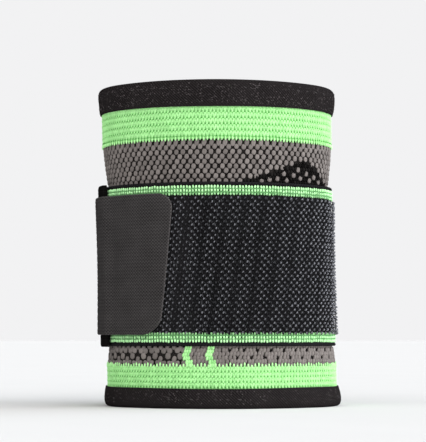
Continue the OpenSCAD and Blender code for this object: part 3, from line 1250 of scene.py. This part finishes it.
@dataclass
class WrapStrap:
    """The strap: a woven web with a pile of loops, two beaded green trims and corded edges."""

    root: float = 154.0
    start: float = 160.0
    end: float = 565.0
    bound_from: float = 545.0
    lengths: int = 14
    inner_lift: float = 0.2
    outer_lift: float = 1.8
    ramp_low: float = 474.0
    ramp_high: float = 510.0
    web: float = 0.9
    cord: float = 0.42
    trim_pitch: float = 0.85
    loop_pitch: float = 0.95
    loop_row: float = 1.88
    slant: float = 0.14
    channel: float = 5.1
    spring: float = 0.65
    off_knit: float = 1.04
    bound_thickness: float = 1.35
    free_from: tuple[float, float] = (256.0, 263.0)
    free_to: tuple[float, float] = (490.0, 506.0)
    # The pile between these angles is the lit side: toned paler there as a painted highlight where the lamps
    # fall.
    lit_side_from: tuple[float, float] = (280.0, 335.0)
    lit_side_to: tuple[float, float] = (380.0, 420.0)
    root_seam: float = 157.0
    fibres_per_mm: int = 10

    def __post_init__(self) -> None:
        """Takes the strap's heights from the CAD."""
        self.low, self.high = levels("strap_web_05")
        self.trim_low, self.trim_high = levels("strap_trim_05")
        self.step = (self.end - self.start) / self.lengths
        self.pile_low, self.pile_high = self.trim_low + 3.0, self.trim_high - 3.0

    def path(self, angle: Array) -> Array:
        """The offset of the strap's inner face, which rises to pass over its sewn end."""
        rise = self.outer_lift - self.inner_lift
        return self.inner_lift + rise * smooth(angle, self.ramp_low, self.ramp_high)

    def loft(self, angle: Array) -> Array:
        """How far the pile springs up where neither the tab nor the strap's outer layer presses on it."""
        return self.spring * smooth(angle, *self.free_from) * (1 - smooth(angle, *self.free_to))

    def cuts(self) -> list[float]:
        """The angles between the strap's pieces, halfway along each length."""
        middles = [self.start + (k + 0.5) * self.step for k in range(self.lengths - 1)]
        return [self.root, *middles, self.bound_from]

    def web_cloth(self, start: float, end: float) -> Cloth:
        """The woven web, with a cord along each edge.

        Args:
            start: the first angle.
            end: the last angle.

        Returns:
            The web.
        """
        made = Cloth()
        angle = np.linspace(start, end, max(6, round((end - start) / 0.8)))
        rows = np.linspace(self.low + 0.35, self.high - 0.35, 60)
        height = np.concatenate([rows, rows[::-1]])[:, None] + 0 * angle
        weave = 0.04 * np.cos(TAU * PLAN.along(angle) / 0.95)[None] * np.cos(TAU * rows / 1.55)[:, None]
        inner = self.path(angle)[None] + weave[::-1] * 0.5
        outer = self.path(angle)[None] + self.web + weave
        made.sweep(angle, height, np.concatenate([outer, inner]), 0.25, 0.6, False)
        fine = np.linspace(start, end, max(8, round((end - start) / 0.45)))
        turn = TAU * np.arange(10) / 10
        for edge in (self.low + 0.5, self.high - 0.5):
            twist = 1 + 0.14 * np.cos(3 * turn[:, None] - TAU * PLAN.along(fine)[None] / 0.8)
            radius = self.cord * twist
            height = edge - radius * np.cos(turn)[:, None]
            offset = self.path(fine)[None] + self.cord + 0.3 + radius * np.sin(turn)[:, None]
            # The cord's tone follows its twist, paler on the plies' ridges and darker in their grooves:
            # painted shade.
            made.sweep(fine, height, offset, 0.3 + 0.5 * (twist - 1), 0.6, False)
        return made

    def spots(self, start: float, end: float, shift: float) -> tuple[Array, Array]:
        """Places for loops in a staggered lattice between two angles.

        Args:
            start: the first angle.
            end: the last angle.
            shift: how far the lattice is moved along, as a share of the pitch.

        Returns:
            How far round the oval, and how high, each place is.
        """
        pitch, low, high = self.loop_pitch, self.pile_low - 0.2, self.pile_high + 0.2
        first, last = float(PLAN.along(start)), float(PLAN.along(end))
        columns = np.arange(
            math.floor((first - self.slant * high) / pitch) - 1, math.ceil(last / pitch) + 1
        )
        rows = np.arange(0, math.ceil((high - low) / self.loop_row) + 1)
        column, level = np.meshgrid(columns, rows)
        height = low + (level + 0.45 * (column % 2)) * self.loop_row
        along = (column + shift) * pitch + self.slant * height
        inside = (along >= first) & (along < last) & (height <= high)
        return along[inside], height[inside]

    def pile(self, start: float, end: float, seed: int) -> Cloth:
        """The pile of loops: pale ones over a bed of dark ones, whose dark tone is painted shade under the
        loops, and loose fibres.

        Args:
            start: the first angle.
            end: the last angle.
            seed: the draws' seed.

        Returns:
            The pile.
        """
        rng = draws(seed)
        made = Cloth()
        path = [(0, -1, -0.9), (0, -0.75, 0.35), (0, 0, 1.0), (0, 0.75, 0.35), (0, 1, -0.9)]
        arch = tube(path, [0.55, 0.6, 0.62, 0.6, 0.5], 5, (1, 0, 0))
        bed = bead(around=5, rings=3)
        for loops in (
            # The bed is the same yarn as the loops over it, toned far darker: painted shade under the loops.
            Loops(bed, 0.03, 0.12, 0.5, (0.26, 0.6, 0.22), 0.0, -20.0),
            Loops(arch, 0.26, 0.52, 0.0, (0.31, 0.24, 0.24), 0.24, 24.0),
        ):
            along, height = self.spots(start, end, loops.shift)
            count = len(along)
            channels = 0.5 + 0.5 * np.cos(TAU * (along - self.slant * height) / self.channel)
            angle = PLAN.angle_at(along + rng.normal(0, 0.05, count))
            # On the lit side the loops are toned up to 1.8 times paler, a painted highlight; there the bed
            # loops also lean the other way.
            lit_side = smooth(angle, *self.lit_side_from) * (1 - smooth(angle, *self.lit_side_to))
            tone = loops.dark + (loops.pale - loops.dark) * rng.uniform(size=count)
            # Away from the lit side, loops near each channel's middle are toned darker: painted shade in the
            # channels.
            tone = tone * (1 - 0.75 * (1 - lit_side) * channels**3) * (1 + 0.8 * lit_side)
            height = height + rng.normal(0, 0.06, count)
            top = self.path(angle) + self.web + self.loft(angle)
            offset = top + loops.rise - 0.25 * channels**4 + rng.normal(0, 0.03, count)
            lean = loops.lean * (1 - 2 * lit_side * (loops.form is bed)) + rng.normal(0, 9, count)
            scale = rng.uniform(0.88, 1.08, count)
            made.stamp(loops.form, angle, height, offset, loops.size, tone, lean=lean, scale=scale)
        count = int((PLAN.along(end) - PLAN.along(start)) * self.fibres_per_mm)
        fibre = tube([(0, -1, 0), (0.3, -0.2, 0.7), (0.1, 0.6, 1.0)], [0.1, 0.08, 0.03], 3, (1, 0, 0))
        angle = rng.uniform(start, end, count)
        made.stamp(
            fibre,
            angle,
            rng.uniform(self.pile_low, self.pile_high, count),
            self.path(angle) + self.web + self.loft(angle) + 0.2,
            (0.3, 0.42, 0.34),
            rng.uniform(0.05, 0.4, count),
            lean=rng.uniform(-80, 80, count),
        )
        return made

    def trims(self, start: float, end: float, seed: int) -> Cloth:
        """The two green trims: three rows of beads each, the inner row smaller and darker.

        Args:
            start: the first angle.
            end: the last angle.
            seed: the draws' seed.

        Returns:
            The trims.
        """
        rng = draws(seed)
        made = Cloth()
        grain = bead(around=6, rings=3, square=0.8)
        first = math.ceil(PLAN.along(start) / self.trim_pitch)
        last = math.ceil(PLAN.along(end) / self.trim_pitch)
        along = np.arange(first, last) * self.trim_pitch
        count = len(along)
        rows = (BeadRow(0.5, 1.2, 0.47), BeadRow(1.52, 1.1, 0.43), BeadRow(2.5, 0.75, 0.37))
        for edge, inward in ((self.trim_high, -1), (self.trim_low, 1)):
            for row in rows:
                angle = PLAN.angle_at(along + rng.normal(0, 0.04, count))
                made.stamp(
                    grain,
                    angle,
                    edge + inward * row.inward + rng.normal(0, 0.05, count),
                    self.path(angle) + self.web + 0.02,
                    (0.345, row.tall, 0.4),
                    row.tone + rng.uniform(-0.35, 0.15, count),
                    lean=rng.normal(0, 8, count),
                )
            # Small dark beads (tone 0.22) under the gaps between the rows: painted shade between the beads.
            under = np.arange(first * 2, last * 2) * self.trim_pitch / 2
            angle = PLAN.angle_at(under)
            for depth in (1.0, 2.0):
                offset = self.path(angle) + self.web - 0.02
                made.stamp(grain, angle, edge + inward * depth, offset, (0.28, 0.34, 0.26), 0.22)
        return made

    def binding(self) -> Cloth:
        """The black cloth that binds the strap's end, rounded at its top and bottom.

        Returns:
            The binding.
        """
        made = Cloth()
        angle = np.linspace(self.bound_from, self.end, 34)
        rows = np.linspace(self.low - 0.25, self.high + 0.25, 96)
        ribs = 0.045 * np.cos(TAU * rows / 0.96)[:, None]
        middle, half = (self.low + self.high) / 2, (self.high - self.low) / 2
        past = np.clip(np.abs(rows - middle) - (half - 0.6), 0, 1)
        round_edge = 0.5 * (1 - np.sqrt(1 - past**2))[:, None]
        thick = np.minimum(1, 0.35 + 0.65 * np.sqrt(np.clip((self.end - angle) / 2.2, 0, 1)))[None]
        height = np.concatenate([rows, rows[::-1]])[:, None] + 0 * angle
        outer = self.path(angle)[None] + (self.bound_thickness - round_edge) * thick + ribs
        inner = self.path(angle)[None] + 0.02 + round_edge
        # The tone follows the ribs, paler on their crests and darker in their troughs: painted shade.
        tone = 0.4 + 3 * np.concatenate([ribs, ribs])
        made.sweep(angle, height, np.concatenate([outer, inner[::-1]]), tone, 0.6, False)
        return made

    def length(self, k: int, start: float, end: float) -> list[bpy.types.Object]:
        """Builds one length's web, pile and trims.

        Args:
            k: the length's number, 0 for the sewn root.
            start: its first angle.
            end: its last angle.

        Returns:
            The web, the pile and the trims.
        """
        node = "strap_root" if k == 0 else "strap"
        mark = "" if k == 0 else f"_{k:02d}"
        webs, trims = [f"{node}_web{mark}"], [f"{node}_trim{mark}"]
        pieces = [
            self.web_cloth(start, end).piece(f"strap_cloth_{k:02d}", WEB_CLOTH, "strap_loop", webs),
            self.pile(start, end, 100 + k).piece(f"strap_pile_{k:02d}", PILE_YARN, "strap_loop", []),
            self.trims(start, end, 200 + k).piece(f"strap_edging_{k:02d}", TRIM_YARN, "strap_trim", trims),
        ]
        angle = np.array([start, end])
        ends = PLAN.place(angle, 40.0, self.path(angle) + 1.0) * MM
        before = "sleeve" if k == 1 else f"strap_{k - 1:02d}"
        for piece in pieces:
            if k == 0:
                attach(piece, "sleeve")
            else:
                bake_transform(piece)
        return pieces

    def root_thread(self) -> bpy.types.Object:
        """Builds the stitches that hold the strap's root on the sleeve.

        Returns:
            The piece.
        """
        made = Cloth()
        rows = np.arange(self.low + 2.0, self.high - 1.0, 2.4)
        offset = self.inner_lift + self.web + 0.3
        made.stamp(stitch_run(True), self.root_seam, rows, offset, (0.15, 0.9, 0.2), 0.3)
        return made.piece("strap_root_thread", THREAD, "thread", ["strap_root_stitching"])

    def build(self) -> None:
        """Builds the strap's lengths, its end binding and its root's stitches."""
        cuts = self.cuts()
        sheets: list[tuple[bpy.types.Object, tuple[float, float], list[bpy.types.Object]]] = []
        short: list[bpy.types.Object] = []
        for k, (start, end) in enumerate(zip(cuts, cuts[1:])):
            web, *others = self.length(k, start, end)
            run = float(PLAN.along(end) - PLAN.along(start)) * MM * self.off_knit
            if run >= SHORTEST_SHEET:
                sheets.append((web, (run, (self.high - self.low) * MM), [*others, *short]))
                short = []
            elif sheets:
                sheets[-1][2].extend((web, *others))
            else:
                short += [web, *others]
        node = "strap_end_binding"
        bound = self.binding().piece("strap_end_cloth", BINDING_CLOTH, "strap_binding", [node])
        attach(bound, f"strap_{self.lengths - 1:02d}")
        sheets[-1][2].append(bound)
        sewn = self.root_thread()
        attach(sewn, "sleeve")
        sheets[0][2].append(sewn)


# ---------------------------------------------------------------- the tab


@dataclass
class HookTab:
    """The tab that holds the strap: charcoal cloth with rounded corners and hooks on its inside."""

    strap: WrapStrap
    sewn_from: float = 536.5
    middle_from: float = 551.0
    tip_from: float = 576.5
    cloth: float = 0.5
    hook: float = 0.3
    sewn_lift: float = 3.23
    drop_low: float = 566.0
    drop_high: float = 578.0
    top_x: float = -12.64
    bottom_x: float = -17.2
    top_corner: float = 4.5
    bottom_corner: float = 5.5
    seam: float = 549.0
    hooks_from: float = 566.0
    curled_by: float = 600.0
    edge_middle: float = 611.0
    bend_offset: float = 4.0
    tip_offset: float = 2.6
    hook_pitch: float = 1.0
    hook_row: float = 0.95
    off_knit: float = 1.05

    def __post_init__(self) -> None:
        """Takes the tab's heights from the CAD."""
        self.low, self.high = levels("tab_middle")

    def path(self, angle: Array) -> Array:
        """The offset of the tab's inner face, which drops past the strap's end."""
        drop = self.sewn_lift - self.strap.outer_lift
        return self.sewn_lift - drop * smooth(angle, self.drop_low, self.drop_high)

    def free_edge(self, height: Array) -> Array:
        """The tab's free edge, with its rounded corners.

        Args:
            height: heights above the floor.

        Returns:
            The angle of the edge at each.
        """
        share = (height - self.low) / (self.high - self.low)
        across = self.bottom_x + (self.top_x - self.bottom_x) * share
        for corner, near in ((self.top_corner, self.high - height), (self.bottom_corner, height - self.low)):
            depth = np.clip(corner - near, 0, corner)
            across = across - (corner - np.sqrt(np.maximum(corner**2 - depth**2, 0)))
        radius = PLAN.radii()[1] + self.strap.outer_lift + self.cloth
        return 630 + np.degrees(np.arcsin(across / radius))

    def rows(self) -> Array:
        """The rows of points, closer together at the corners.

        Returns:
            Their heights.
        """
        middle = np.linspace(self.low + 6.5, self.high - 6.5, 118)
        bend = 6.5 * (1 - np.cos(np.linspace(0, math.pi / 2, 34)))
        return np.concatenate([self.low + bend[:-1], middle, (self.high - bend[:-1])[::-1]])

    def slab(self, start: float, end: float | None, columns: int) -> Cloth:
        """The tab's cloth from one angle to another, or to its free edge.

        Args:
            start: where it starts.
            end: where it ends, or None for the free edge.
            columns: points from one end to the other.

        Returns:
            The cloth.
        """
        rows = self.rows()
        finish = self.free_edge(rows) if end is None else np.full_like(rows, end)
        share = np.linspace(0, 1, columns)[None]
        angle = start + (finish[:, None] - start) * share
        rib = 0.045 * np.cos(TAU * rows / 1.0)[:, None]
        border = np.minimum(rows - self.low, self.high - rows)[:, None] + 0 * share
        if end is None:
            border = np.minimum(border, (PLAN.along(finish)[:, None] - PLAN.along(angle)))
        soft = 0.16 * (1 - smooth(border, 0, 0.5))
        seam = 0.14 * np.exp(-(((PLAN.along(angle) - PLAN.along(self.seam)) / 0.35) ** 2))
        inner = self.path(angle) + self.hook
        outer = inner + self.cloth + rib - soft - seam
        # Tone: paler within 0.3 mm of the border; paler on the rib crests and darker in their troughs and in
        # the seam's dent, which is painted shade.
        tone = 0.4 + 0.4 * (1 - smooth(border, 0, 0.3)) + 1.2 * rib - 1.2 * seam
        made = Cloth()
        made.sweep(
            np.concatenate([angle, angle[::-1]]),
            np.concatenate([rows, rows[::-1]])[:, None] + 0 * share,
            np.concatenate([outer, inner[::-1] + soft[::-1] * 0.6]),
            np.concatenate([tone, tone[::-1]]),
            0.75,
            False,
        )
        return made

    def hook_field(self, start: float, end: float | None, seed: int) -> Cloth:
        """Rows of small hooks on the tab's inside, turned up and down in pairs of rows.

        Args:
            start: the angle where they start.
            end: where they end, or None for the free edge.
            seed: the draws' seed.

        Returns:
            The hooks.
        """
        rng = draws(seed)
        made = Cloth()
        path = [(0, -0.4, 0), (0, -0.4, -0.8), (0, 0.1, -1.0), (0, 0.5, -0.6)]
        stem = tube(path, [0.3, 0.26, 0.24, 0.16], 5, (1, 0, 0))
        heights = np.arange(self.low + 0.9, self.high - 0.6, self.hook_row)
        for count, height in enumerate(heights):
            edge = float(self.free_edge(np.array([height]))[0]) if end is None else end
            last = PLAN.along(edge) - (0.8 if end is None else 0.0)
            along = np.arange(PLAN.along(start) + 0.3 + 0.5 * (count % 2), last, self.hook_pitch)
            angle = PLAN.angle_at(along)
            lean = rng.normal(0 if count % 4 < 2 else 180, 8, len(angle))
            offset = self.path(angle) + self.hook + 0.03
            made.stamp(stem, angle, height, offset, (0.28, 0.42, 0.3), 0.55, lean=lean)
        return made

    def cloth_length(
        self, part: str, node: str, start: float, end: float | None, columns: int
    ) -> bpy.types.Object:
        """Builds one of the tab's lengths of cloth.

        Args:
            part: what it is called.
            node: the CAD node that it stands for.
            start: where it starts.
            end: where it ends, or None for the free edge.
            columns: points from one end to the other.

        Returns:
            The piece.
        """
        return self.slab(start, end, columns).piece(f"tab_cloth_{part}", TAB_CLOTH, "tab_cloth", [node])

    def hooks(self, part: str, start: float, end: float | None, seed: int) -> bpy.types.Object:
        """Builds the hooks on one of the tab's lengths.

        Args:
            part: what the length is called.
            start: where they start.
            end: where they end, or None for the free edge.
            seed: the draws' seed.

        Returns:
            The piece.
        """
        made = self.hook_field(start, end, seed)
        return made.piece(f"tab_hooks_{part}", HOOKS, "tab_hooks", [f"tab_{part}_hooks"])

    def thread(self) -> bpy.types.Object:
        """Builds the stitches that hold the tab on the strap's end.

        Returns:
            The piece.
        """
        made = Cloth()
        rows = np.arange(self.low + 1.2, self.high - 0.6, 1.9)
        offset = self.sewn_lift + self.hook + self.cloth - 0.06
        made.stamp(stitch_run(True), self.seam, rows, offset, (0.13, 0.7, 0.16), 0.5)
        return made.piece("tab_thread", THREAD, "thread", ["tab_stitching"])

    def build(self) -> None:
        """Builds the tab's three lengths of cloth, its hooks and its seam."""
        sewn = self.cloth_length("sewn", "tab_sewn_end", self.sewn_from, self.middle_from, 18)
        middle = self.cloth_length("middle", "tab_middle", self.middle_from, self.tip_from, 40)
        tip = self.cloth_length("tip", "tab_tip", self.tip_from, None, 64)
        middle_hooks = self.hooks("middle", self.hooks_from, self.tip_from, 41)
        tip_hooks = self.hooks("tip", self.tip_from, None, 42)
        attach(sewn, "strap_13")
        bends = np.array([self.middle_from, self.tip_from, self.curled_by])
        offsets = np.array([self.bend_offset, self.tip_offset, self.tip_offset])
        ends = PLAN.place(bends, 40.0, offsets) * MM
        for piece in (middle, middle_hooks):
            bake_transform(piece)
        for piece in (tip, tip_hooks):
            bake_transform(piece)
        stitches = self.thread()
        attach(stitches, "strap_13")
        run = float(PLAN.along(self.edge_middle) - PLAN.along(self.tip_from)) * MM * self.off_knit


# ---------------------------------------------------------------- floor, light and camera


@dataclass
class Studio:
    """A pale floor and background, soft lamps, and the camera."""

    distance: float = 0.516
    height: float = 0.0205
    across: float = -0.0018
    tilt: float = 3.69
    lens: float = 143.8
    ambient: float = 0.5
    spread: float = 80.0
    floor_reach: float = 6.0

    def floor(self) -> None:
        """A wide pale floor."""
        made = bpy.data.materials.new("studio_floor")
        shader = Shader(made)
        place = shader.node("ShaderNodeTexCoord", {}, {})
        mottle = shader.grain(Term(shader, place.outputs["Object"]), 0.05, 2.0)
        colour = shader.mix(mottle, tint(217, 216, 215), tint(221, 220, 219))
        surface = shader.node(
            "ShaderNodeBsdfPrincipled",
            {},
            {"Base Color": colour, "Roughness": 0.9, "Specular IOR Level": 0.0},
        )
        shader.node("ShaderNodeOutputMaterial", {}, {"Surface": surface.outputs[0]})
        mesh = bpy.data.meshes.new("studio_floor")
        reach = self.floor_reach
        corners = [(-reach, -reach, 0), (reach, -reach, 0), (reach, reach, 0), (-reach, reach, 0)]
        mesh.from_pydata(corners, [], [(0, 1, 2, 3)])
        mesh.materials.append(made)
        ground = bpy.data.objects.new("studio_floor", mesh)
        bpy.context.scene.collection.objects.link(ground)

    def lamp(self, name: str, ahead: Point, power: float, colour: Point) -> None:
        """A wide soft lamp, far away.

        Args:
            name: the lamp's name.
            ahead: the direction from the sleeve to the lamp.
            power: how strongly it lights a face turned to it.
            colour: its colour.
        """
        light = bpy.data.lights.new(name, "SUN")
        light.angle = math.radians(self.spread)
        light.energy = power
        light.color = colour
        made = bpy.data.objects.new(name, light)
        bpy.context.scene.collection.objects.link(made)
        level = math.hypot(ahead[0], ahead[1])
        made.rotation_euler = (math.atan2(level, ahead[2]), 0, math.atan2(ahead[1], ahead[0]) + math.pi / 2)

    def air(self) -> None:
        """The background: pale as the camera sees it, and dimmer as light."""
        world = bpy.data.worlds.new("studio_air")
        shader = Shader(world)
        rays = shader.node("ShaderNodeLightPath", {}, {})
        seen = Term(shader, rays.outputs["Is Camera Ray"])
        level = self.ambient + seen * (1 - self.ambient)
        sky = shader.node("ShaderNodeBackground", {}, {"Color": tint(242, 242, 243), "Strength": level})
        shader.node("ShaderNodeOutputWorld", {}, {"Surface": sky.outputs[0]})
        bpy.context.scene.world = world
        bpy.context.scene.view_settings.view_transform = "Standard"

    def build(self) -> None:
        """Sets the floor, lamps, background and camera."""
        self.floor()
        self.air()
        self.lamp("key_lamp", (0.9, -0.75, 0.5), 2.8, (1.0, 0.99, 0.98))
        self.lamp("side_lamp", (0.9, 0.15, 0.3), 3.2, (0.84, 0.92, 1.0))
        self.lamp("fill_lamp", (-0.6, -0.9, 0.7), 1.15, (1.0, 1.0, 1.0))
        camera = bpy.data.cameras.new("camera")
        camera.lens = self.lens
        camera.sensor_width = 36.0
        camera.clip_start = 0.01
        camera.clip_end = 50.0
        made = bpy.data.objects.new("camera", camera)
        bpy.context.scene.collection.objects.link(made)
        made.location = (self.across, -self.distance, self.height)
        made.rotation_euler = (math.radians(90 + self.tilt), 0, 0)
        bpy.context.scene.camera = made


def main() -> None:
    """Builds the sleeve, its hems, the strap and the tab, then the studio."""
    logging.basicConfig(level=logging.INFO, format="%(message)s")
    Studio().build()
    KnitSleeve().build()
    RolledHem("top", True, 1.5, flecks=2600).build()
    RolledHem("bottom", False, 1.2).build()
    strap = WrapStrap()
    strap.build()
    HookTab(strap).build()


if __name__ == "__main__":
    main()
